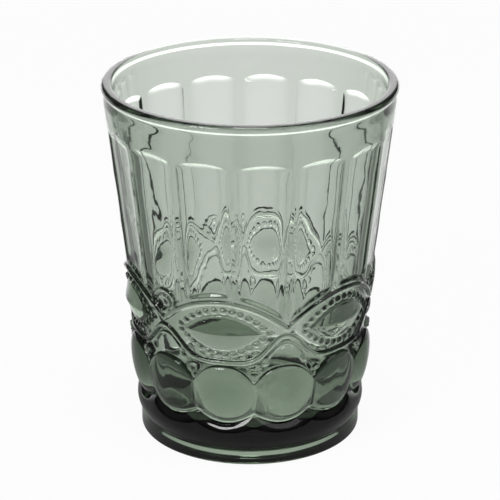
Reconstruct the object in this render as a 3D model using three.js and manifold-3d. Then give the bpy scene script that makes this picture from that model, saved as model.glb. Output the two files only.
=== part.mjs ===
import * as THREE from 'three';
import Module from 'manifold-3d';

// A pressed glass tumbler: one piece of smoke-green glass, shaped outside by a mould and inside by a plunger.
// Millimetres, +Z up, the origin at the centre of the face that it stands on, the middle of an eye at -Y.
// From the foot up: a plain foot, a smooth skirt, a row of balls, a belt of beaded eyes between ribs,
// upright flutes that end in arches, and a plain band under the rounded lip.

// Whole glass
const height = 100;
const rimRadius = 40;
const lipThickness = 3;
const footRadius = 30.5;

// Inside
const floorHeight = 7.3;
const floorSag = 0.5;
const innerCorner = 7.5;
const cornerWall = 3.7;
const innerFloorRadius = footRadius - cornerWall;

// Foot and underside
const footHeight = 5;
const footEdge = 0.8;
const creaseDepth = 0.4;
const creaseHeight = 0.5;
const restWidth = 4;
const slopeWidth = 4;
const slopeHeight = 0.3;
const hollowHeight = 1.3;
const hollowDraft = 0.8;
const hollowRise = 0.6;

// Skirt between the foot and the balls
const skirtProud = 1.1;
const skirtRise = 4;
const skirtHeight = 7.2;
const skirtRoll = 2.2;
const grooveProud = 0;
const skirtRadius = footRadius + skirtProud;
const grooveRadius = footRadius + grooveProud;

// Row of balls
const ballCount = 12;
const ballHeight = 17.8;
const ballProud = 2.2;
const ballRoundness = 0.45;
const ballFootScallop = 2.8;
const ballTopScallop = 5.3;
const ballTopBend = 2.5;
const ballValleyShare = 0.5;
const ballFoot = footHeight + skirtHeight;
const ballTop = ballFoot + ballHeight;

// Belt of eyes. Its ribs lie over each other: the low rib's arches, then the valleys of the high rib.
const eyeCount = 6;
const ribWidth = 1.6;
const ribProud = 0.85;
const ribClearance = 1;
const archRise = 7.9;
const ribCrossing = 2;
const bowRise = 8.1;
const lowRibFoot = ballTop + ribClearance;
const lowRibPeak = lowRibFoot + archRise;
const highRibValley = lowRibPeak + ribCrossing;
const highRibPeak = highRibValley + bowRise;
const eyeMiddle = (lowRibPeak + highRibValley) / 2;
const eyeHalfHeight = 5.4;
const eyeWidthShare = 0.63;
const eyeProud = 1.25;
const eyeEdge = 0.15;
const trackHalfHeight = 6.9;
const trackWidthShare = 0.74;
const trackProud = 0.35;
const leastGap = 0.2;

// Ringed bosses over every second joint of the eyes, and pearls over the gaps between the balls
const bossCount = 3;
const bossHeight = 45.3;
const bossRadius = 4.35;
const bossGrooveRadius = 2.95;
const bossOuterCrest = 3.7;
const bossInnerCrest = 2.1;
const bossOuterProud = 0.6;
const bossInnerProud = 0.8;
const bossGroove = 0.15;
const pearlHeight = 28.6;
const pearlRadius = 1.6;
const pearlSqueezeShare = 0.7;
const pearlProud = 0.75;
const pearlShoulderShare = 0.6;
const rootDepth = 0.8;

// Flutes, and the band between them and the lip
const fluteCount = 16;
const fluteClearance = 4.5;
const fluteRunIn = 3;
const fluteArchRise = 1.6;
const fluteScoop = 2.6;
const fluteDepth = 0.85;
const fluteWidthShare = 0.83;
const bandHeight = 10.7;
const bandProud = 0.45;
const fluteFoot = highRibPeak + fluteClearance;
const fluteTop = height - bandHeight;

// The wall between the inside and the cone that the belt and the flutes are pressed on
const wallAtBalls = 3;
const wallAtBand = 2.7;
const wallFoot = floorHeight + innerCorner;
const wallTop = height - lipThickness / 2;

// Steps round the glass: patterned, plain and hidden rings
const patternSteps = 96;
const plainSteps = 96;
const insideSteps = 72;
const underSteps = 48;
const cornerSteps = 4;
const lipSteps = 6;
const bossSteps = 20;
const pearlSteps = 8;

// Places of the rings up the skirt, up a ball, across an eye and up the scooped end of a flute, as shares
const skirtRingShares = [0.5, 0.85];
const ballRingShares = [0, 0.04, 0.16, 0.38, 0.65, 0.86, 0.96, 1];
const eyeRingShares = [-1, -0.15, 0.15, 1];
const scoopRingShares = [0, 0.5, 0.8, 1];

const turn = 2 * Math.PI;

// How far an angle lies from the middle of its copy of a repeated pattern: 0 at the middle, 1 at the joint.
function offMiddle(angle, count) {
  const copies = (angle * count) / turn;
  return 2 * Math.abs(copies - Math.round(copies));
}

function mix(from, to, share) {
  return from + (to - from) * share;
}

// A round crown: 1 in the middle and 0 at a share of 1 either way. A lower roundness makes its edge steeper.
function crown(share, roundness) {
  return Math.pow(Math.max(0, 1 - share * share), roundness);
}

function innerRadius(z) {
  return mix(innerFloorRadius, rimRadius - lipThickness, (z - wallFoot) / (wallTop - wallFoot));
}

function coneRadius(z) {
  return innerRadius(z) + mix(wallAtBalls, wallAtBand, (z - ballTop) / (fluteTop - ballTop));
}

// The balls' outline: arcs below and above, deepest at the middle of a ball.
function ballFootAt(angle) {
  return ballFoot + ballFootScallop * offMiddle(angle, ballCount) ** 2;
}

function ballTopAt(angle) {
  return ballTop - ballTopScallop * offMiddle(angle, ballCount) ** ballTopBend;
}

// The lower rib sags under each eye and rises to a round arch between two eyes.
function lowRibAt(angle) {
  const rise = Math.sin((offMiddle(angle, eyeCount) * Math.PI) / 2) ** 6;
  return mix(lowRibFoot, lowRibPeak, rise);
}

// The upper rib is a bow over each eye, and two bows meet in a point between the eyes.
function highRibAt(angle) {
  return mix(highRibPeak, highRibValley, offMiddle(angle, eyeCount) ** 2);
}

// Half the height of a pointed oval at an angle, from its half height and its share of the eye's room.
function ovalAt(angle, halfHeight, widthShare) {
  const off = offMiddle(angle, eyeCount) / widthShare;
  return halfHeight * Math.max(0, 1 - off * off);
}

// The flutes are hollow in section and end in a low arch.
function fluteDepthAt(angle) {
  const off = offMiddle(angle, fluteCount) / fluteWidthShare;
  return fluteDepth * Math.max(0, 1 - off * off);
}

function fluteTopAt(angle) {
  return fluteTop - fluteArchRise * offMiddle(angle, fluteCount) ** 2;
}

// A ring of points, evenly spaced round the axis. place gives the radius and the height at an angle.
function ring(steps, place) {
  const points = [];
  for (let i = 0; i < steps; i += 1) {
    const angle = ((i + 0.5) * turn) / steps;
    const [radius, z] = place(angle);
    points.push(new THREE.Vector3(radius * Math.sin(angle), -radius * Math.cos(angle), z));
  }
  return points;
}

function plainRing(steps, radius, z) {
  return ring(steps, () => [radius, z]);
}

// Rings from the middle of the underside to the widest part of the skirt.
function footRings() {
  const restRadius = footRadius - footEdge;
  const slopeRadius = restRadius - restWidth;
  const recessRadius = slopeRadius - slopeWidth;
  const domeRadius = recessRadius - hollowDraft;
  const creaseRadius = footRadius - creaseDepth;
  const creaseMiddle = footHeight + creaseHeight;
  return [
    plainRing(underSteps, domeRadius / 2, hollowHeight + hollowRise * 0.75),
    plainRing(underSteps, domeRadius, hollowHeight),
    plainRing(underSteps, recessRadius, slopeHeight),
    plainRing(underSteps, slopeRadius, 0),
    plainRing(plainSteps, restRadius, 0),
    plainRing(plainSteps, footRadius - footEdge * (1 - Math.SQRT1_2), footEdge * (1 - Math.SQRT1_2)),
    plainRing(plainSteps, footRadius, footEdge),
    plainRing(plainSteps, footRadius, footHeight),
    plainRing(plainSteps, creaseRadius, creaseMiddle),
    plainRing(plainSteps, mix(creaseRadius, skirtRadius, 0.75), mix(creaseMiddle, footHeight + skirtRise, 0.4)),
    plainRing(plainSteps, skirtRadius, footHeight + skirtRise),
  ];
}

// The skirt rolls in to the balls' feet, and the balls stand on it.
function ballRings() {
  const skirt = skirtRingShares.map((share) => (angle) => [
    mix(skirtRadius, grooveRadius, share ** skirtRoll),
    mix(footHeight + skirtRise, ballFootAt(angle), share),
  ]);
  const balls = ballRingShares.map((share) => (angle) => {
    const across = offMiddle(angle, ballCount);
    const ground = mix(grooveRadius, coneRadius(ballTop), share);
    const fullness = mix(1, ballValleyShare, across ** 3);
    const proud = ballProud * fullness * crown(2 * share - 1, ballRoundness);
    return [ground + proud, mix(ballFootAt(angle), ballTopAt(angle), share)];
  });
  return [...skirt, ...balls].map((place) => ring(patternSteps, place));
}

// A rib on the cone: its two edges and its crest.
function ribPlaces(middleAt) {
  const half = ribWidth / 2;
  const edge = (offset) => (angle) => {
    const z = middleAt(angle) + offset;
    return [coneRadius(z), z];
  };
  const crest = (angle) => [coneRadius(middleAt(angle)) + ribProud, middleAt(angle)];
  return [edge(-half), crest, edge(half)];
}

// Rings from the balls to the upper rib. Between the ribs they follow the bead track and the eye,
// and where the ribs close in on each other they keep their order in the room that is left.
function beltRings() {
  const low = (angle) => lowRibAt(angle) + ribWidth / 2;
  const high = (angle) => highRibAt(angle) - ribWidth / 2;
  const tracks = [-1, 1].map((side) => (angle) => {
    const track = ovalAt(angle, trackHalfHeight, trackWidthShare);
    return { proud: trackProud * Math.sign(track), z: eyeMiddle + side * (track + 2 * leastGap) };
  });
  const eyes = eyeRingShares.map((share) => (angle) => {
    const oval = ovalAt(angle, eyeHalfHeight, eyeWidthShare);
    const roof = (1 - Math.abs(share)) * eyeProud + eyeEdge;
    return { proud: (roof * oval) / eyeHalfHeight, z: eyeMiddle + share * (oval + leastGap) };
  });
  const curves = [tracks[0], ...eyes, tracks[1]];
  const between = curves.map((curve, i) => (angle) => {
    const { proud, z } = curve(angle);
    const from = low(angle);
    const step = (high(angle) - from) / (curves.length + 1) / 2;
    const highest = high(angle) - (curves.length - i) * step;
    const kept = Math.min(Math.max(z, from + (i + 1) * step), highest);
    return [coneRadius(kept) + proud, kept];
  });
  const gap = (angle) => {
    const z = mix(ballTopAt(angle), lowRibAt(angle) - ribWidth / 2, 0.5);
    return [coneRadius(z), z];
  };
  const places = [gap, ...ribPlaces(lowRibAt), ...between, ...ribPlaces(highRibAt)];
  return places.map((place) => ring(patternSteps, place));
}

// The plain ground over the upper rib, the flutes, and the scooped run-out to the band at their arched tops.
function fluteRings() {
  const ground = (angle) => {
    const z = mix(highRibAt(angle) + ribWidth / 2, fluteFoot, 0.5);
    return [coneRadius(z), z];
  };
  const start = () => [coneRadius(fluteFoot), fluteFoot];
  const runIn = (angle) => [coneRadius(fluteFoot + fluteRunIn) - fluteDepthAt(angle), fluteFoot + fluteRunIn];
  const scoop = scoopRingShares.map((share) => (angle) => {
    const z = fluteTopAt(angle) - fluteScoop * (1 - share);
    return [coneRadius(z) + mix(-fluteDepthAt(angle), bandProud, share ** 2), z];
  });
  return [ground, start, runIn, ...scoop].map((place) => ring(patternSteps, place));
}

// The band and the round lip, from outside to inside.
function lipRings() {
  const lipRadius = lipThickness / 2;
  const middle = rimRadius - lipRadius;
  const rings = [];
  for (let i = 0; i <= lipSteps; i += 1) {
    const angle = (Math.PI * i) / lipSteps;
    const radius = middle + lipRadius * Math.cos(angle);
    rings.push(plainRing(plainSteps, radius, height - lipRadius + lipRadius * Math.sin(angle)));
  }
  return rings;
}

// The inside: a straight taper, a round corner and a floor that sinks a little to its middle.
function insideRings() {
  const cornerMiddle = innerFloorRadius - innerCorner;
  const wallMiddle = (wallFoot + wallTop) / 2;
  const rings = [plainRing(insideSteps, innerRadius(wallMiddle), wallMiddle)];
  for (let i = 0; i <= cornerSteps; i += 1) {
    const angle = (Math.PI * i) / cornerSteps / 2;
    const radius = cornerMiddle + innerCorner * Math.cos(angle);
    rings.push(plainRing(insideSteps, radius, wallFoot - innerCorner * Math.sin(angle)));
  }
  rings.push(plainRing(underSteps, cornerMiddle / 2, floorHeight - floorSag * 0.75));
  return rings;
}

// Joins the rings in order into one closed skin, from a point under the first to a point over the last.
// Two rings may differ in their number of points: the side whose next point comes first steps on.
function closedSkin(rings, firstPoint, lastPoint) {
  const points = [firstPoint, ...rings.flat(), lastPoint];
  const faces = [];
  let start = 1;
  const first = rings[0].length;
  for (let i = 0; i < first; i += 1) {
    faces.push(0, start + ((i + 1) % first), start + i);
  }
  for (let k = 1; k < rings.length; k += 1) {
    const below = rings[k - 1].length;
    const above = rings[k].length;
    const next = start + below;
    let i = 0;
    let j = 0;
    while (i < below || j < above) {
      const here = start + (i % below);
      const there = next + (j % above);
      if (j === above || (i < below && (i + 1) * above <= (j + 1) * below)) {
        faces.push(here, start + ((i + 1) % below), there);
        i += 1;
      } else {
        faces.push(here, next + ((j + 1) % above), there);
        j += 1;
      }
    }
    start = next;
  }
  const last = rings[rings.length - 1].length;
  for (let i = 0; i < last; i += 1) {
    faces.push(start + i, start + ((i + 1) % last), points.length - 1);
  }
  const geometry = new THREE.BufferGeometry().setFromPoints(points);
  geometry.setIndex(faces);
  return geometry;
}

// A round raised form on the cone, given by steps of [distance from its middle, how far it stands out].
// It follows the curve of the glass, may be squeezed in height, and has a root that goes into the wall.
function raisedForm(steps, angle, z, profile, squeeze) {
  const lean = (coneRadius(highRibPeak) - coneRadius(ballTop)) / (highRibPeak - ballTop);
  const place = (along, up, proud) => {
    const radius = coneRadius(z) + up * lean + proud;
    const there = angle + along / coneRadius(z);
    return new THREE.Vector3(radius * Math.sin(there), -radius * Math.cos(there), z + up);
  };
  const points = [place(0, 0, -rootDepth)];
  for (const [distance, proud] of profile) {
    for (let i = 0; i < steps; i += 1) {
      const at = ((i + 0.5) * turn) / steps;
      points.push(place(distance * Math.cos(at), distance * Math.sin(at) * squeeze, proud));
    }
  }
  points.push(place(0, 0, profile[profile.length - 1][1]));
  const faces = [];
  for (let i = 0; i < steps; i += 1) {
    const next = (i + 1) % steps;
    faces.push(0, 1 + next, 1 + i);
    for (let k = 1; k < profile.length; k += 1) {
      const inner = 1 + k * steps;
      const outer = inner - steps;
      faces.push(outer + i, outer + next, inner + i, outer + next, inner + next, inner + i);
    }
    const last = 1 + (profile.length - 1) * steps;
    faces.push(last + i, last + next, points.length - 1);
  }
  const geometry = new THREE.BufferGeometry().setFromPoints(points);
  geometry.setIndex(faces);
  return geometry;
}

function bossForms() {
  const profile = [
    [bossRadius, -rootDepth],
    [bossRadius, 0],
    [bossOuterCrest, bossOuterProud],
    [bossGrooveRadius, bossGroove],
    [bossInnerCrest, bossInnerProud],
    [bossInnerCrest / 2, bossGroove],
    [bossInnerCrest / 4, bossInnerProud],
  ];
  const forms = [];
  for (let i = 0; i < bossCount; i += 1) {
    const angle = turn / eyeCount / 2 + (turn * i) / bossCount;
    forms.push(raisedForm(bossSteps, angle, bossHeight, profile, 1));
  }
  return forms;
}

function pearlForms() {
  const shoulder = pearlRadius * pearlShoulderShare;
  const profile = [
    [pearlRadius, -rootDepth],
    [pearlRadius, 0],
    [shoulder, pearlProud],
  ];
  const forms = [];
  for (let i = 0; i < ballCount; i += 1) {
    const angle = ((i + 0.5) * turn) / ballCount;
    forms.push(raisedForm(pearlSteps, angle, pearlHeight, profile, pearlSqueezeShare));
  }
  return forms;
}

const wasm = await Module();
wasm.setup();

function solidOf(geometry) {
  const mesh = new wasm.Mesh({
    numProp: 3,
    vertProperties: new Float32Array(geometry.attributes.position.array),
    triVerts: new Uint32Array(geometry.index.array),
  });
  return new wasm.Manifold(mesh);
}

function geometryOf(solid) {
  const mesh = solid.getMesh();
  const geometry = new THREE.BufferGeometry();
  geometry.setAttribute('position', new THREE.BufferAttribute(new Float32Array(mesh.vertProperties), 3));
  geometry.setIndex(new THREE.BufferAttribute(new Uint32Array(mesh.triVerts), 1));
  geometry.computeVertexNormals();
  return geometry;
}

function glassGeometry() {
  const rings = [
    ...footRings(),
    ...ballRings(),
    ...beltRings(),
    ...fluteRings(),
    ...lipRings(),
    ...insideRings(),
  ];
  const underside = new THREE.Vector3(0, 0, hollowHeight + hollowRise);
  const floor = new THREE.Vector3(0, 0, floorHeight - floorSag);
  let solid = solidOf(closedSkin(rings, underside, floor));
  for (const form of [...bossForms(), ...pearlForms()]) {
    solid = solid.add(solidOf(form));
  }
  return geometryOf(solid);
}

const smokeGlass = new THREE.MeshStandardMaterial({
  color: 0x9fb09f,
  roughness: 0.03,
  metalness: 0,
  transparent: true,
  opacity: 0.35,
});

const group = new THREE.Group();
const glassBody = new THREE.Mesh(glassGeometry(), smokeGlass);
glassBody.name = 'glass_body';
group.add(glassBody);

export default group;
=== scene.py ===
import math

import bpy
import numpy as np
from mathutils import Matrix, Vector


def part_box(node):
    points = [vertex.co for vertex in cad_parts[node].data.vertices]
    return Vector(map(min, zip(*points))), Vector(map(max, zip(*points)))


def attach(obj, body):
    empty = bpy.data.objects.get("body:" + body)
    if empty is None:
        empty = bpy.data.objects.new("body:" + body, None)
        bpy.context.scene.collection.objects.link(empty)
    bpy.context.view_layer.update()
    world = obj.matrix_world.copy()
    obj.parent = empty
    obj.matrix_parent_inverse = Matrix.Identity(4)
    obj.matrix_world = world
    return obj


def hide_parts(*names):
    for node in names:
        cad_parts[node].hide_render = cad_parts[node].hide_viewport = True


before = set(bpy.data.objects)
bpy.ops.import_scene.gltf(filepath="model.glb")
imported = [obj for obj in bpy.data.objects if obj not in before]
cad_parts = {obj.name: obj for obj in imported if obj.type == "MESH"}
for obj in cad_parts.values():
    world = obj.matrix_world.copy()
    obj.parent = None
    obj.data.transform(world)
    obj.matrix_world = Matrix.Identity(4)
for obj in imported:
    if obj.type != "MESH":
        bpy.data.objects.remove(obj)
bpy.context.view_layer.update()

# The camera. It stands far off with a long lens and looks a little down on the glass, so that the nearest
# eye of the belt lies left of the middle and the next one right. Turns start at -Y and go towards +X.
MM = 0.001
BODY = "glass_body"
foot_corner, rim_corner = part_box(BODY)
glass_height = rim_corner[2] - foot_corner[2]

view_turn = math.radians(-47)
view_rise = math.radians(22.04)
view_distance = 6.575 * glass_height
view_middle = Vector((0, 0, 0.506 * glass_height))
lens_length, sensor_width = 171.8, 36
nearest_seen, farthest_seen = 0.05, 50


def direction_at(turned, risen):
    """The unit vector at a turn round the glass and a rise over the table."""
    level = math.cos(risen)
    return Vector((level * math.sin(turned), -level * math.cos(turned), math.sin(risen)))


def place_facing_glass(thing, direction, distance):
    """Puts a camera or lamp at a distance in a direction, facing the middle of the glass."""
    thing.location = view_middle + direction * distance
    thing.rotation_mode = "QUATERNION"
    thing.rotation_quaternion = (-direction).to_track_quat("-Z", "Y")
    bpy.context.collection.objects.link(thing)


camera_data = bpy.data.cameras.new("view")
camera_data.lens = lens_length
camera_data.sensor_width = sensor_width
camera_data.clip_start = nearest_seen
camera_data.clip_end = farthest_seen
camera = bpy.data.objects.new("view", camera_data)
place_facing_glass(camera, direction_at(view_turn, view_rise), view_distance)
bpy.context.scene.camera = camera

# The table. A wide flat top with a matt white finish that the foot of the glass stands on. Where it is
# looked at, most of its white comes from a plain glow, so that the shadow of the glass stays faint.
table_size, table_gap = 8.0, 0.1 * MM
table_white, table_glow = 0.82, 0.94
white = (1, 1, 1, 1)

# Far off, at distances in metres, the table brightens to a painted glow, brighter than white, that stands
# in for a backdrop lit from behind. A ray that was mirrored in the glass finds the table painted dark
# beside and in front of the glass, a painted shade for a dark studio. The start and the end of that are
# cosines of the
# turn from the camera: -1 is behind the glass.
painted_glow_start, painted_glow_end, painted_backdrop_glow = 0.4, 1.2, 2.2
painted_shade_start, painted_shade_full, painted_shade_glow = -0.85, -0.4, 0.3


def new_material(name):
    """A material with an empty node tree and its output."""
    material = bpy.data.materials.new(name)
    material.use_nodes = True
    tree = material.node_tree
    tree.nodes.clear()
    output = tree.nodes.new("ShaderNodeOutputMaterial")
    return material, tree, output


def seen_directly(tree):
    """1 for rays that come from the camera, from gloss or through glass, else 0."""
    path = tree.nodes.new("ShaderNodeLightPath")
    total = path.outputs["Is Camera Ray"]
    for name in ("Is Glossy Ray", "Is Transmission Ray"):
        both = tree.nodes.new("ShaderNodeMath")
        both.operation = "MAXIMUM"
        tree.links.new(total, both.inputs[0])
        tree.links.new(path.outputs[name], both.inputs[1])
        total = both.outputs[0]
    return total


def rays_after_mirroring(tree):
    """1 for rays that were mirrored in a glass face on their way, else 0."""
    path = tree.nodes.new("ShaderNodeLightPath")
    mirrored = tree.nodes.new("ShaderNodeMath")
    mirrored.operation = "MINIMUM"
    mirrored.inputs[1].default_value = 1
    tree.links.new(path.outputs["Glossy Depth"], mirrored.inputs[0])
    return mirrored.outputs[0]


def blend_of(tree, share, first, second):
    """A number that goes from the first to the second as the share goes from 0 to 1."""
    blend = tree.nodes.new("ShaderNodeMix")
    blend.data_type = "FLOAT"
    tree.links.new(share, blend.inputs["Factor"])
    for value, name in ((first, "A"), (second, "B")):
        if isinstance(value, (int, float)):
            blend.inputs[name].default_value = value
        else:
            tree.links.new(value, blend.inputs[name])
    return blend.outputs["Result"]


def soft_step(tree, value, start, end):
    """A smooth step from 0 to 1 as the value goes from the start to the end."""
    step = tree.nodes.new("ShaderNodeMapRange")
    step.interpolation_type = "SMOOTHSTEP"
    step.inputs["From Min"].default_value = start
    step.inputs["From Max"].default_value = end
    tree.links.new(value, step.inputs["Value"])
    return step.outputs["Result"]


def in_front_of_glass(tree, coordinates, start, full):
    """0 behind the glass, 1 beside and in front of it, by the cosine of the turn from the camera."""
    place = tree.nodes.new("ShaderNodeTexCoord")
    level = tree.nodes.new("ShaderNodeVectorMath")
    level.operation = "MULTIPLY"
    level.inputs[1].default_value = (1, 1, 0)
    tree.links.new(place.outputs[coordinates], level.inputs[0])
    direction = tree.nodes.new("ShaderNodeVectorMath")
    direction.operation = "NORMALIZE"
    tree.links.new(level.outputs["Vector"], direction.inputs[0])
    along = tree.nodes.new("ShaderNodeVectorMath")
    along.operation = "DOT_PRODUCT"
    along.inputs[1].default_value = (math.sin(view_turn), -math.cos(view_turn), 0)
    tree.links.new(direction.outputs["Vector"], along.inputs[0])
    return soft_step(tree, along.outputs["Value"], start, full)


def table_material():
    """Matt white under a glow: white near the glass, painted brighter far off, painted dark when mirrored.
    """
    material, tree, output = new_material("table_white")
    matt = tree.nodes.new("ShaderNodeBsdfDiffuse")
    matt.inputs["Color"].default_value = (table_white, table_white, table_white, 1)
    glow = tree.nodes.new("ShaderNodeEmission")
    glow.inputs["Color"].default_value = white
    place = tree.nodes.new("ShaderNodeTexCoord")
    from_glass = tree.nodes.new("ShaderNodeVectorMath")
    from_glass.operation = "LENGTH"
    tree.links.new(place.outputs["Object"], from_glass.inputs[0])
    # Painted glow: far off the table glows brighter than white, standing in for a backdrop lit from behind.
    far_off = soft_step(tree, from_glass.outputs["Value"], painted_glow_start, painted_glow_end)
    painted_backdrop_strength = blend_of(tree, far_off, 1.0, painted_backdrop_glow)
    # Painted shade: a ray mirrored in the glass sees the table's glow dark beside and in front of the
    # glass.
    painted_shade_share = in_front_of_glass(tree, "Object", painted_shade_start, painted_shade_full)
    mirrored = blend_of(tree, painted_shade_share, painted_backdrop_strength, painted_shade_glow)
    strength = blend_of(tree, rays_after_mirroring(tree), painted_backdrop_strength, mirrored)
    tree.links.new(strength, glow.inputs["Strength"])
    share = tree.nodes.new("ShaderNodeMath")
    share.operation = "MULTIPLY"
    share.inputs[1].default_value = table_glow
    tree.links.new(seen_directly(tree), share.inputs[0])
    blend = tree.nodes.new("ShaderNodeMixShader")
    tree.links.new(share.outputs[0], blend.inputs["Fac"])
    tree.links.new(matt.outputs[0], blend.inputs[1])
    tree.links.new(glow.outputs[0], blend.inputs[2])
    tree.links.new(blend.outputs[0], output.inputs["Surface"])
    return material


half_table = table_size / 2
table_level = foot_corner[2] - table_gap
table_corners = [
    (-half_table, -half_table, table_level),
    (half_table, -half_table, table_level),
    (half_table, half_table, table_level),
    (-half_table, half_table, table_level),
]
table_mesh = bpy.data.meshes.new("table")
table_mesh.from_pydata(table_corners, [], [(0, 1, 2, 3)])
table_mesh.materials.append(table_material())
table = bpy.data.objects.new("table", table_mesh)
bpy.context.collection.objects.link(table)

# The light. A pale room lights everything evenly, and three soft boxes give the highlights: a small one on
# the left, a wide one on the right and a small one overhead. Seen through the glass the room is the bright
# backdrop. Mirrored in it the room is dark except right behind the glass, and a little less dark high up,
# where the sine of the rise is over the last value.
room_light = 0.35
room_dark_start, room_dark_full = -1.0, -0.9
dark_at_table, dark_high_up, high_up = 0.03, 0.15, 0.4
box_distance = 1.2

room = bpy.data.worlds.new("room")
room.use_nodes = True
room_tree = room.node_tree
room_tree.nodes.clear()
room_output = room_tree.nodes.new("ShaderNodeOutputWorld")
soft_light = room_tree.nodes.new("ShaderNodeBackground")
soft_light.inputs["Color"].default_value = white
soft_light.inputs["Strength"].default_value = room_light
seen_room = room_tree.nodes.new("ShaderNodeBackground")
seen_room.inputs["Color"].default_value = white
room_place = room_tree.nodes.new("ShaderNodeTexCoord")
room_split = room_tree.nodes.new("ShaderNodeSeparateXYZ")
room_tree.links.new(room_place.outputs["Generated"], room_split.inputs[0])
room_rise = soft_step(room_tree, room_split.outputs["Z"], 0.0, high_up)
dark_side = blend_of(room_tree, room_rise, dark_at_table, dark_high_up)
dark_room = in_front_of_glass(room_tree, "Generated", room_dark_start, room_dark_full)
mirrored_room = blend_of(room_tree, dark_room, painted_backdrop_glow, dark_side)
room_strength = blend_of(room_tree, rays_after_mirroring(room_tree), painted_backdrop_glow, mirrored_room)
room_tree.links.new(room_strength, seen_room.inputs["Strength"])
room_blend = room_tree.nodes.new("ShaderNodeMixShader")
room_tree.links.new(seen_directly(room_tree), room_blend.inputs["Fac"])
room_tree.links.new(soft_light.outputs[0], room_blend.inputs[1])
room_tree.links.new(seen_room.outputs[0], room_blend.inputs[2])
room_tree.links.new(room_blend.outputs[0], room_output.inputs["Surface"])
bpy.context.scene.world = room


def soft_box(name, turned, risen, wide, tall, watts):
    """A lamp with a flat face, at a turn from the camera and a rise over the table, in degrees."""
    lamp = bpy.data.lights.new(name, "AREA")
    lamp.shape = "RECTANGLE"
    lamp.size = wide
    lamp.size_y = tall
    lamp.energy = watts
    holder = bpy.data.objects.new(name, lamp)
    direction = direction_at(math.radians(turned) + view_turn, math.radians(risen))
    place_facing_glass(holder, direction, box_distance)


soft_box("box_left", turned=-38, risen=36, wide=0.4, tall=0.3, watts=4)
soft_box("box_right", turned=60, risen=50, wide=1.0, tall=1.0, watts=3)
soft_box("box_over", turned=0, risen=82, wide=0.3, tall=0.3, watts=3)

# The glass. One piece of smoke-green glass, pressed between a mould and a plunger and then fire-polished.
# Its surface is a stack of rings, in millimetres: from the middle of the underside up the outside, over the
# lip and down the inside to the middle of the floor. The sections below make the rings in that order.
columns, plain_columns, inner_columns = 432, 216, 192
height = 100.0
rim_radius = rim_corner[0] / MM
lip_thickness = 3.0
foot_radius = 30.5
floor_height, floor_sag = 8.0, 0.5
inner_corner, corner_wall = 5.8, 3.0
inner_floor_radius = foot_radius - corner_wall
wall_foot = floor_height + inner_corner
wall_top = height - lip_thickness / 2
full_turn, quarter_turn = 2 * math.pi, math.pi / 2
round_angles, plain_angles, inner_angles = (
    (np.arange(count) + 0.5) * full_turn / count for count in (columns, plain_columns, inner_columns)
)


def mix(low, high, share):
    """From low to high as the share goes from 0 to 1."""
    return low + (high - low) * share


def signed_off(angles, count):
    """Where angles lie in their copy of a repeated pattern: -1 and 1 at its joints, 0 at its middle."""
    copies = angles * count / full_turn
    return 2 * (copies - np.round(copies))


def off_middle(angles, count):
    """The same without its sign: 0 at the middle of a copy, 1 at its joints."""
    return np.abs(signed_off(angles, count))


def crown(share, power=0.6):
    """1 in the middle, 0 at shares of 1 and more, steep at its edge: (1 - share squared) to a power."""
    return np.clip(1 - share * share, 0, None) ** power


def eased(share):
    """A soft step from 0 to 1: 3 s squared less 2 s cubed."""
    share = np.clip(share, 0, 1)
    return share * share * (3 - 2 * share)


def even_shares(count):
    """Even steps from 0 to 1."""
    return np.linspace(0, 1, count)


def later_shares(count):
    """Even steps up to 1, without the 0, for rings that join on to the last ring before them."""
    return even_shares(count + 1)[1:]


def between_shares(count):
    """Even steps between 0 and 1, without both."""
    return even_shares(count + 2)[1:-1]


def plain_rings(radii, heights, angles):
    """Level rings: each radius and height the same all round."""
    radii, heights = np.asarray(radii, float), np.asarray(heights, float)
    one = np.ones_like(angles)
    return angles, np.outer(radii, one), np.outer(heights, one)


def inner_radius(z):
    """The inside's taper: a straight line from the top of its round corner to the lip."""
    return mix(inner_floor_radius, rim_radius - lip_thickness, (z - wall_foot) / (wall_top - wall_foot))


# The underside and the foot. The thickest glass, which carries the weight: a recess that the mould's bottom
# plate leaves, the flat ring that the glass stands on, an upright side, and over it a sharp crease from
# which the skirt swells out. All of it is turned, the same all round.
foot_height, foot_edge = 5.0, 0.4
crease_depth, crease_height = 0.05, 0.1
rest_width, slope_width, slope_height, slope_bend = 3.4, 3.9, 0.3, 1.5
hollow_height, hollow_draft, hollow_rise = 1.4, 0.5, 0.5
skirt_proud, skirt_rise = 1.1, 4.0
skirt_radius = foot_radius + skirt_proud
dome_rows, step_rows, slope_rows, edge_rows, swell_rows = 8, 8, 4, 5, 7
first_ring_share = 0.05
row_beside_edge = 0.15


def underside_rings():
    """The recess and the ring. The recess is a dome (1 less the share squared), its wall a soft step down,
    and from there a slope falls to the ring (1 less the share, to a power)."""
    rest_radius = foot_radius - foot_edge - rest_width
    recess_radius = rest_radius - slope_width
    dome_radius = recess_radius - hollow_draft
    dome = np.linspace(first_ring_share, 1, dome_rows)
    radii = list(dome * dome_radius)
    heights = list(hollow_height + hollow_rise * (1 - dome**2))
    step = later_shares(step_rows)
    radii += list(mix(dome_radius, recess_radius, step))
    heights += list(mix(hollow_height, slope_height, eased(step)))
    slope = later_shares(slope_rows)
    radii += list(mix(recess_radius, rest_radius, slope))
    heights += list(slope_height * (1 - slope) ** slope_bend)
    return plain_rings(radii, heights, inner_angles)


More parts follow.
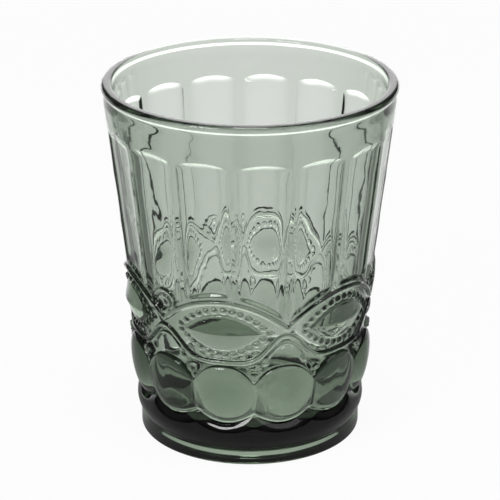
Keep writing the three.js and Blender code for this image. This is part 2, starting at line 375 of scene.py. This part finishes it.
def foot_rings():
    """The foot's bottom edge, a quarter circle, its side, the crease, and the skirt's swell: the radius
    grows with the sine of a quarter turn times the share of the height."""
    edge = np.linspace(0, quarter_turn, edge_rows)
    radii = list(foot_radius - foot_edge + foot_edge * np.sin(edge))
    heights = list(foot_edge * (1 - np.cos(edge)))
    side = [
        foot_edge + row_beside_edge,
        foot_height / 2,
        foot_height - 2 * row_beside_edge,
        foot_height - row_beside_edge,
    ]
    radii += [foot_radius] * len(side)
    heights += side
    radii += [foot_radius - crease_depth]
    heights += [foot_height]
    swell = later_shares(swell_rows)
    radii += list(mix(foot_radius, skirt_radius, np.sin(swell * quarter_turn)))
    heights += list(mix(foot_height + crease_height, foot_height + skirt_rise, swell))
    return plain_rings(radii, heights, plain_angles)


# The skirt and the balls. Twelve balls stand round the bottom of the wall and press on each other, cut as
# hollows in the mould. Under them the smooth skirt rolls in to a groove and ends in a scallop under each
# ball. The wall's thickness at the balls and at the band gives the cone that all of the relief stands on.
skirt_height = 7.2
groove_proud, skirt_roll = -0.8, 2.0
groove_radius = foot_radius + groove_proud
ball_count, ball_height, ball_proud, ball_roundness = 12, 17.8, 2.65, 0.46
ball_foot_scallop, ball_top_scallop, ball_top_bend = 2.8, 5.6, 2.5
ball_valley, ball_valley_bend = 0.35, 2.5
skirt_rows, ball_rows = 10, 26
ball_foot = foot_height + skirt_height
ball_top = ball_foot + ball_height
ball_off = off_middle(round_angles, ball_count)
ball_feet = ball_foot + ball_foot_scallop * ball_off**2
ball_tops = ball_top - ball_top_scallop * ball_off**ball_top_bend
wall_at_balls, wall_at_band = 2.65, 2.85
band_height, band_proud = 10.7, 0.05
flute_top = height - band_height


def cone_radius(z):
    """The outside without its relief: the inside's taper and a wall that thickens evenly up to the band."""
    return inner_radius(z) + mix(wall_at_balls, wall_at_band, (z - ball_top) / (flute_top - ball_top))


def skirt_rings():
    """From the skirt's swell to the balls' feet: it rolls in with a power of the share of its height, and
    its rings crowd to the top with the root of even shares."""
    share = np.sqrt(between_shares(skirt_rows))[:, None]
    heights = mix(foot_height + skirt_rise, ball_feet[None, :], share)
    return round_angles, mix(skirt_radius, groove_radius, share**skirt_roll) + 0 * heights, heights


def ball_rings():
    """Each ball is a crown from its foot to its top, and lower where it meets the next, by a power of the
    share of the way there. Its rings crowd to both ends: half of 1 less the cosine."""
    share = ((1 - np.cos(math.pi * even_shares(ball_rows))) / 2)[:, None]
    ground = mix(groove_radius, cone_radius(ball_top), share)
    fullness = mix(1, ball_valley, ball_off[None, :] ** ball_valley_bend)
    radii = ground + ball_proud * fullness * crown(2 * share - 1, ball_roundness)
    return round_angles, radii, mix(ball_feet[None, :], ball_tops[None, :], share)


# The belt of eyes. Six pointed ovals with a ridge along each, every one in a ring of beads, between a rib
# that sags under them and arches up between them and a rib that bows over them. The mould's engraving is
# here: ringed bosses, pearls over the gaps between the balls, seeds on the low rib, and the mould's seams.
eye_count = 6
rib_width, rib_proud, rib_clearance = 1.6, 0.85, 1.0
arch_rise, arch_sharpness, rib_crossing, bow_rise = 7.9, 6, 2.0, 8.1
low_rib_foot = ball_top + rib_clearance
low_rib_peak = low_rib_foot + arch_rise
high_rib_valley = low_rib_peak + rib_crossing
high_rib_peak = high_rib_valley + bow_rise
eye_middle = (low_rib_peak + high_rib_valley) / 2
eye_half_height, eye_width, eye_proud = 5.4, 0.63, 1.5
eye_edge, eye_edge_width = 0.4, 0.3
ridge_softness, ridge_fall = 0.02, 0.85
track_half_height, track_width, track_steps = 6.6, 0.73, 400
bead_count, bead_radius, bead_proud, bead_roundness = 25, 0.85, 0.8, 0.55
belt_radius = cone_radius(eye_middle)
eye_off = off_middle(round_angles, eye_count)
half_eye = belt_radius * math.pi / eye_count
low_rib = mix(low_rib_foot, low_rib_peak, np.sin(eye_off * quarter_turn) ** arch_sharpness)
high_rib = mix(high_rib_peak, high_rib_valley, eye_off**2)


def slope_stretch(curve):
    """How much taller a band of even width is where its curve slopes: the root of 1 plus slope squared."""
    step = full_turn * belt_radius / columns
    slope = (np.roll(curve, -1) - np.roll(curve, 1)) / (2 * step)
    return np.sqrt(1 + slope**2)


def oval_gap(along, z, half_height, width):
    """How far a point lies outside a pointed oval between two parabolas, and less than 0 inside it."""
    half_width = width * half_eye
    reach = np.abs(z - eye_middle) - half_height * (1 - (along / half_width) ** 2)
    slope = 2 * half_height * along / half_width**2
    return reach / np.sqrt(1 + slope**2)


def bead_places():
    """Bead centres, evenly spaced along the oval track, as distances along and up."""
    half_width = track_width * half_eye
    across = np.linspace(-half_width, half_width, track_steps)
    rise = track_half_height * (1 - (across / half_width) ** 2)
    along = np.concatenate([across, across[::-1]])
    up = np.concatenate([rise, -rise[::-1]])
    length = np.concatenate([[0], np.cumsum(np.hypot(np.diff(along), np.diff(up)))])
    places = (np.arange(bead_count) + 0.5) * length[-1] / bead_count
    return np.interp(places, length, along), eye_middle + np.interp(places, length, up)


def belt_relief(z):
    """The eye, a roof that falls evenly from its ridge with a low step at its edge, and the beads' crowns.
    The root of a square plus a small square rounds the ridge."""
    along = signed_off(round_angles, eye_count)[None, :] * half_eye
    inside = -oval_gap(along, z, eye_half_height, eye_width)
    from_ridge = 1 - np.clip(inside / eye_half_height, 0, 1)
    fall = np.sqrt(from_ridge**2 + ridge_softness**2) - ridge_softness
    roof = 1 - fall / (1.0 - ridge_softness * ridge_fall)
    relief = eye_proud * np.clip(roof, 0, None) + eye_edge * eased(inside / eye_edge_width)
    for bead_along, bead_z in zip(*bead_places()):
        share = np.hypot(along - bead_along, z - bead_z) / bead_radius
        relief = np.maximum(relief, bead_proud * crown(share, bead_roundness))
    return relief


def along_from(first_turn, count):
    """Signed distance round the belt from the nearest of several evenly spaced places."""
    return signed_off(round_angles - first_turn, count)[None, :] * belt_radius * math.pi / count


def pearl(along, up, radius, proud):
    """A round bead: a crown over the distance from its middle."""
    return proud * crown(np.hypot(along, up) / radius)


def raised_ring(along, up, radius, half_width, proud):
    """A round ring: a crown over the distance from a circle."""
    return proud * crown((np.hypot(along, up) - radius) / half_width)


ring_pearl_height, ring_pearl_radius, ring_pearl_half_width = 28.6, 1.4, 0.5
ring_pearl_squeeze, ring_pearl_proud = 0.8, 1.5
small_pearl_height, small_pearl_radius, small_pearl_proud = 25.9, 1.0, 0.9
side_pearl_height, side_pearl_radius, side_pearl_proud, side_pearl_off = 31.0, 0.95, 0.6, 3.1
inner_arch_drop, inner_arch_bend, inner_arch_width, inner_arch_proud = 2.3, 0.17, 0.9, 0.45
inner_arch_reach, inner_arch_fade = 5.2, 1.5


def gap_relief(z):
    """Pearls over the gaps between the balls, and a small parabola inside each arch of the low rib."""
    along = along_from(math.pi / ball_count, ball_count)
    up = (z - ring_pearl_height) / ring_pearl_squeeze
    relief = raised_ring(along, up, ring_pearl_radius, ring_pearl_half_width, ring_pearl_proud)
    small = pearl(along, z - small_pearl_height, small_pearl_radius, small_pearl_proud)
    relief = np.maximum(relief, small)
    from_joint = along_from(math.pi / eye_count, eye_count)
    side_off = np.abs(from_joint) - (belt_radius * math.pi / ball_count - side_pearl_off)
    side = pearl(side_off, z - side_pearl_height, side_pearl_radius, side_pearl_proud)
    relief = np.maximum(relief, side)
    arch = low_rib_peak - inner_arch_drop - inner_arch_bend * from_joint**2
    stretch = np.sqrt(1 + (2 * inner_arch_bend * from_joint) ** 2)
    thin_rib = inner_arch_proud * crown((z - arch) / (stretch * inner_arch_width / 2))
    fade = eased((inner_arch_reach - np.abs(from_joint)) / inner_arch_fade)
    return np.maximum(relief, thin_rib * fade)


seed_radius, seed_proud = 0.5, 0.35
seed_places = ((3.1, 32.4), (5.9, 32.7), (9.0, 33.9))


def seed_relief(z):
    """Seeds on the low rib's upper edge. A place is the distance from the eye's middle and a height."""
    from_middle = np.abs(along_from(0, eye_count))
    relief = 0 * z
    for along, seed_z in seed_places:
        relief = np.maximum(relief, pearl(from_middle - along, z - seed_z, seed_radius, seed_proud))
    return relief


boss_turn, boss_count, boss_height = math.radians(30), 3, 45.3
boss_rings = [(3.7, 0.65, 0.6), (2.1, 0.7, 0.8), (0, 0.9, 0.7)]
seam_turn = boss_turn + math.pi / boss_count
seam_half_width, seam_proud, seam_roundness = 0.22, 0.16, 1
seam_wave, seam_wave_rate = 0.35, 0.9


def upper_relief(z):
    """The ringed boss over every second joint of the eyes, with each ring's radius, half width and height,
    and over the other joints the mould's seam, which wanders with a sine."""
    along = along_from(boss_turn, boss_count)
    relief = 0 * z
    for radius, half_width, proud in boss_rings:
        relief = np.maximum(relief, raised_ring(along, z - boss_height, radius, half_width, proud))
    seam = along_from(seam_turn, boss_count) - seam_wave * np.sin(z * seam_wave_rate)
    line = seam_proud * crown(seam / seam_half_width, seam_roundness)
    return np.maximum(relief, line)


rib_shares = np.array([-1, -0.85, -0.55, 0, 0.55, 0.85, 1])
rib_gap = 0.15
plain_rib_share, plain_rib_start, plain_rib_rise = 0.35, 2.5, 4
under_rows, belt_rows = 28, 46


def belt_rings():
    """Rows that follow the ribs, so that the ribs' edges are smooth: under, on, between and on them. A rib
    is a crown over the shares of its half width, and the low one is fainter at the joints with a seam."""
    low_half = slope_stretch(low_rib) * rib_width / 2
    high_half = slope_stretch(high_rib) * rib_width / 2
    room_for_rib = (high_rib - low_rib) / 2 - rib_gap
    low_half, high_half = np.minimum(low_half, room_for_rib), np.minimum(high_half, room_for_rib)
    rib = rib_proud * crown(rib_shares)[:, None]
    heights, radii = [], []

    def add(z, relief):
        heights.append(z)
        radii.append(cone_radius(z) + relief)

    z = mix(ball_tops, low_rib - low_half, between_shares(under_rows)[:, None])
    add(z, gap_relief(z))
    z = low_rib + rib_shares[:, None] * low_half
    from_seam = np.abs(along_from(seam_turn, boss_count))
    add(z, rib * mix(plain_rib_share, 1, eased((from_seam - plain_rib_start) / plain_rib_rise)))
    z = mix(low_rib + low_half, high_rib - high_half, between_shares(belt_rows)[:, None])
    add(z, np.maximum(belt_relief(z), seed_relief(z)))
    z = high_rib + rib_shares[:, None] * high_half
    add(z, np.maximum(rib, upper_relief(z)))
    return round_angles, np.vstack(radii), np.vstack(heights)


# The flutes. Fifteen upright hollows, pressed by ribs in the mould, five to each of its three parts, with
# narrow flat fillets between them and the mould's seams down the middle of fillets. They start close over
# the high rib and end in low arches under the plain band. The columns crowd at the fillets' edges.
flute_count, flute_clearance, flute_run_in = 15, 0.4, 1.6
flute_turn = seam_turn + math.pi / flute_count
flute_arch_rise, flute_scoop, flute_scoop_evenness, scoop_bend = 1.6, 2.3, 0.6, 1.5
flute_depth, flute_width, flute_flatness = 0.75, 0.87, 4.2
ground_top = 51.5
ground_rows, hollow_rows, scoop_rows = 26, 10, 10
hollow_columns = np.array([0.13, 0.26, 0.39, 0.52, 0.64, 0.75, 0.84, 0.91, 0.955, 0.985, 1.0])
fillet_column = 0.95
half_flute = np.concatenate([hollow_columns * flute_width, [fillet_column]])
one_flute = np.concatenate([-half_flute[::-1], [0], half_flute, [1]])
flute_angles = (np.arange(flute_count)[:, None] + one_flute[None, :] / 2) * full_turn / flute_count
flute_angles = np.sort((flute_turn + flute_angles.ravel()) % full_turn)


def hollow_at(angles):
    """How deep the flutes are: 1 less a power of the share of the way to the fillet, flat in the middle."""
    share = np.clip(off_middle(angles - flute_turn, flute_count) / flute_width, 0, 1)
    return flute_depth * (1 - share**flute_flatness)


def flute_tops_at(angles):
    """The arches: parabolas that fall to the fillets."""
    return flute_top - flute_arch_rise * off_middle(angles - flute_turn, flute_count) ** 2


def ground_rings():
    """The ground over the high rib, with the bosses, where the flutes begin with a soft step."""
    high_foot = high_rib + slope_stretch(high_rib) * rib_width / 2
    z = mix(high_foot, ground_top, later_shares(ground_rows)[:, None])
    run = eased((z - high_foot - flute_clearance) / flute_run_in)
    return round_angles, cone_radius(z) + upper_relief(z) - hollow_at(round_angles) * run, z


def flute_rings():
    """The hollows, and the scoop out to the band along the arches: a power of the share of its length,
    which shrinks a little with the hollow towards the fillets."""
    hollow, tops = hollow_at(flute_angles), flute_tops_at(flute_angles)
    scoop_length = flute_scoop * mix(hollow / flute_depth, 1, flute_scoop_evenness)
    hollow_z = mix(ground_top, tops - scoop_length, later_shares(hollow_rows)[:, None])
    step = later_shares(scoop_rows)[:, None]
    step_z = tops - scoop_length * (1 - step)
    out = step**scoop_bend
    radii = [
        cone_radius(hollow_z) - hollow,
        cone_radius(step_z) - hollow * (1 - out) + band_proud * out,
    ]
    return flute_angles, np.vstack(radii), np.vstack([hollow_z, step_z])


# The band and the lip. Over the flutes the wall is plain. The lip is a round bead that the mould's cap ring
# left and the fire softened, with a shallow neck under it. The bead's lower edge turns in, and that turn
# catches the backdrop as a white line.
bead_edge, bead_turn_in, lip_inner_edge = 1.2, math.radians(50), 0.9
neck_height, neck_depth, neck_run = 3.0, 0.3, 1.05
neck_foot = height - 2 * bead_edge - neck_height
band_under_rim = 0.12
band_rows, neck_rows, bead_rows, inner_edge_rows = 4, 7, 15, 7


def band_line(z):
    """The cone that the band lies on: a straight line from the flutes' tops to just inside the rim."""
    low = cone_radius(flute_top) + band_proud
    return mix(low, rim_radius - band_under_rim, (z - flute_top) / (height - flute_top))


def band_rings():
    """The band's plain cone, from the arches up to the neck."""
    share = later_shares(band_rows)[:, None]
    tops = flute_tops_at(flute_angles)
    radii = mix(cone_radius(tops) + band_proud, band_line(neck_foot), share)
    return flute_angles, radii, mix(tops, neck_foot, share)


def lip_rings():
    """The neck, a soft step in under the bead, the bead, part of a circle, and a quarter circle inside."""
    bead_foot = height - bead_edge * (1 + math.sin(bead_turn_in))
    neck = between_shares(neck_rows)
    neck_z = mix(neck_foot, bead_foot, neck)
    inmost = band_line(bead_foot) - (rim_radius - bead_edge * (1 - math.cos(bead_turn_in)))
    radii = list(band_line(neck_z) - max(inmost, neck_depth) * eased(neck * neck_run))
    heights = list(neck_z)
    round_bead = np.linspace(-bead_turn_in, quarter_turn, bead_rows)
    radii += list(rim_radius - bead_edge + bead_edge * np.cos(round_bead))
    heights += list(height - bead_edge + bead_edge * np.sin(round_bead))
    inner_edge = np.linspace(quarter_turn, math.pi, inner_edge_rows)
    inner_start = rim_radius - lip_thickness + lip_inner_edge
    radii += list(inner_start + lip_inner_edge * np.cos(inner_edge))
    heights += list(height - lip_inner_edge + lip_inner_edge * np.sin(inner_edge))
    return plain_rings(radii, heights, plain_angles)


# The inside. The polished plunger leaves it plain: a straight taper, a round corner, and a floor that sinks
# a little to its middle.
wall_rows, corner_rows, floor_rows = 12, 10, 9


def inside_rings():
    """The taper, a quarter circle, and the floor: a bowl that sinks by 1 less the share squared."""
    z = list(np.linspace(height - lip_inner_edge, wall_foot, wall_rows)[1:])
    radii = [inner_radius(ring_z) for ring_z in z]
    corner = np.linspace(0, quarter_turn, corner_rows)[1:]
    corner_middle = inner_floor_radius - inner_corner
    radii += list(corner_middle + inner_corner * np.cos(corner))
    z += list(wall_foot - inner_corner * np.sin(corner))
    floor = np.linspace(1, first_ring_share, floor_rows)[1:]
    radii += list(corner_middle * floor)
    z += list(floor_height - floor_sag * (1 - floor**2))
    return plain_rings(radii, z, inner_angles)


# The skin. Fire polishing melts the pressed surface a little, which leaves it uneven over the belt. Each
# wave has a count round the glass, the radians that it turns in each millimetre of height, and its start.
# The glass is moved in and out by the waves, and round by the same waves started elsewhere.
ripple_waves = [
    (5, 0.31, 0.4),
    (9, -0.23, 1.9),
    (14, 0.47, 3.1),
    (21, -0.55, 0.9),
    (33, 0.36, 2.2),
    (27, 0.81, 5.0),
]
ripple_in, ripple_round, round_shift = 0.015, 0.05, 2.5
ripple_start, ripple_rise = 38, 12
ripple_end, ripple_fall = 3, 8


def ripple(angles, z, shift):
    """A sum of slow sine waves, which starts over the belt and ends under the lip with soft steps."""
    waves = sum(np.sin(count * angles + rate * z + phase + shift) for count, rate, phase in ripple_waves)
    starts, ends = (z - ripple_start) / ripple_rise, (height - ripple_end - z) / ripple_fall
    return waves * eased(starts) * eased(ends)


def ring_points(angles, radii, heights):
    """Rings of radii and heights as points, in metres, moved in and out and round by the ripple."""
    angles = angles + 0 * heights
    radii = radii + ripple_in * ripple(angles, heights, 0)
    angles = angles + ripple_round * ripple(angles, heights, round_shift) / rim_radius
    points = np.stack([radii * np.sin(angles), -radii * np.cos(angles), heights], axis=-1)
    return points.reshape(-1, 3) * MM


def seam_faces(below, above, below_start, above_start):
    """Triangles between two rings: the steps of both, sorted by the angle they end at, make one each."""
    ends = np.concatenate([below[1:], [below[0] + full_turn], above[1:], [above[0] + full_turn]])
    low_step = np.argsort(ends, kind="stable") < len(below)
    i = np.cumsum(low_step) - low_step
    j = np.cumsum(~low_step) - ~low_step
    here, there = below_start + i % len(below), above_start + j % len(above)
    next_here, next_there = below_start + (i + 1) % len(below), above_start + (j + 1) % len(above)
    return np.stack([here, np.where(low_step, next_here, next_there), there], axis=1)


def closed_skin(name, groups, first_height, last_height):
    """One closed mesh from groups of rings in order, with a point under the first and over the last."""
    turns = [angles for angles, radii, _ in groups for _ in range(len(radii))]
    starts = 1 + np.concatenate([[0], np.cumsum([len(angles) for angles in turns])])
    ends = [[(0, 0, first_height * MM)], [(0, 0, last_height * MM)]]
    points = np.vstack([ends[0], *[ring_points(*group) for group in groups], ends[1]])
    around = np.arange(len(turns[0]))
    faces = [np.stack([0 * around, 1 + (around + 1) % len(around), 1 + around], axis=1)]
    for k in range(1, len(turns)):
        faces.append(seam_faces(turns[k - 1], turns[k], starts[k - 1], starts[k]))
    around = np.arange(len(turns[-1]))
    last, after = starts[-2] + around, starts[-2] + (around + 1) % len(around)
    faces.append(np.stack([last, after, 0 * around + len(points) - 1], axis=1))
    faces = np.vstack(faces).astype(np.int32)
    mesh = bpy.data.meshes.new(name)
    mesh.vertices.add(len(points))
    mesh.vertices.foreach_set("co", points.astype(np.float32).ravel())
    mesh.loops.add(faces.size)
    mesh.loops.foreach_set("vertex_index", faces.ravel())
    mesh.polygons.add(len(faces))
    mesh.polygons.foreach_set("loop_start", np.arange(0, faces.size, 3, dtype=np.int32))
    mesh.polygons.foreach_set("loop_total", np.full(len(faces), 3, dtype=np.int32))
    mesh.polygons.foreach_set("use_smooth", np.ones(len(faces), dtype=bool))
    mesh.update(calc_edges=True)
    mesh.validate()
    return mesh


# The glass's finish. Clear glass with a grey-green smoke tint in its body, so it deepens with thickness,
# and a skin with low waves where the mould chilled it and a faint haze in soft patches.
skin_inputs = (
    ("Wave Scale", 300.0),
    ("Patch Scale", 60.0),
    ("Least Haze", 0.01),
    ("Most Haze", 0.04),
)
wave_detail, patch_detail = 2, 3
patch_low, patch_high = 0.3, 0.7
wave_strength, wave_height = 1.0, 0.015 * MM
glass_refraction = 1.52
smoke_tint, smoke_density = (0.25, 0.37, 0.23, 1), 198


def fire_polish():
    """A node group: the height of the waves from one noise, and a roughness between two from another."""
    group = bpy.data.node_groups.new("fire_polish", "ShaderNodeTree")
    for name, value in skin_inputs:
        socket = group.interface.new_socket(name, in_out="INPUT", socket_type="NodeSocketFloat")
        socket.default_value = value
    for name in ("Height", "Roughness"):
        group.interface.new_socket(name, in_out="OUTPUT", socket_type="NodeSocketFloat")
    enter = group.nodes.new("NodeGroupInput")
    leave = group.nodes.new("NodeGroupOutput")
    place = group.nodes.new("ShaderNodeTexCoord")
    waves = group.nodes.new("ShaderNodeTexNoise")
    waves.inputs["Detail"].default_value = wave_detail
    patches = group.nodes.new("ShaderNodeTexNoise")
    patches.inputs["Detail"].default_value = patch_detail
    haze = group.nodes.new("ShaderNodeMapRange")
    haze.inputs["From Min"].default_value = patch_low
    haze.inputs["From Max"].default_value = patch_high
    group.links.new(place.outputs["Object"], waves.inputs["Vector"])
    group.links.new(place.outputs["Object"], patches.inputs["Vector"])
    group.links.new(enter.outputs["Wave Scale"], waves.inputs["Scale"])
    group.links.new(enter.outputs["Patch Scale"], patches.inputs["Scale"])
    group.links.new(enter.outputs["Least Haze"], haze.inputs["To Min"])
    group.links.new(enter.outputs["Most Haze"], haze.inputs["To Max"])
    group.links.new(patches.outputs["Fac"], haze.inputs["Value"])
    group.links.new(waves.outputs["Fac"], leave.inputs["Height"])
    group.links.new(haze.outputs["Result"], leave.inputs["Roughness"])
    return group


def glass_material():
    """Clear glass with its skin's bump and haze, over a body that absorbs light."""
    material, tree, output = new_material("smoke_glass")
    glass = tree.nodes.new("ShaderNodeBsdfPrincipled")
    glass.inputs["Base Color"].default_value = white
    glass.inputs["IOR"].default_value = glass_refraction
    glass.inputs["Transmission Weight"].default_value = 1
    skin = tree.nodes.new("ShaderNodeGroup")
    skin.node_tree = fire_polish()
    tree.links.new(skin.outputs["Roughness"], glass.inputs["Roughness"])
    bump = tree.nodes.new("ShaderNodeBump")
    bump.inputs["Strength"].default_value = wave_strength
    bump.inputs["Distance"].default_value = wave_height
    tree.links.new(skin.outputs["Height"], bump.inputs["Height"])
    tree.links.new(bump.outputs["Normal"], glass.inputs["Normal"])
    tree.links.new(glass.outputs["BSDF"], output.inputs["Surface"])
    tint = tree.nodes.new("ShaderNodeVolumeAbsorption")
    tint.inputs["Color"].default_value = smoke_tint
    tint.inputs["Density"].default_value = smoke_density
    tree.links.new(tint.outputs[0], output.inputs["Volume"])
    return material


# The finished tumbler. The rings are joined into one closed skin, in the place of the plain solid. Light
# is turned many times in glass this thick before it comes out, so its bounces are counted far.
glass_bounces, gloss_bounces = 32, 16
skin_groups = [
    underside_rings(),
    foot_rings(),
    skirt_rings(),
    ball_rings(),
    belt_rings(),
    ground_rings(),
    flute_rings(),
    band_rings(),
    lip_rings(),
    inside_rings(),
]
recess_middle, floor_middle = hollow_height + hollow_rise, floor_height - floor_sag
glass_mesh = closed_skin("tumbler_glass", skin_groups, recess_middle, floor_middle)
glass_mesh.materials.append(glass_material())
tumbler = bpy.data.objects.new("tumbler_glass", glass_mesh)
bpy.context.collection.objects.link(tumbler)
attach(tumbler, "root")
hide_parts(BODY)

bpy.context.scene.cycles.max_bounces = glass_bounces
bpy.context.scene.cycles.transmission_bounces = glass_bounces
bpy.context.scene.cycles.glossy_bounces = gloss_bounces
bpy.context.scene.view_settings.view_transform = "Standard"
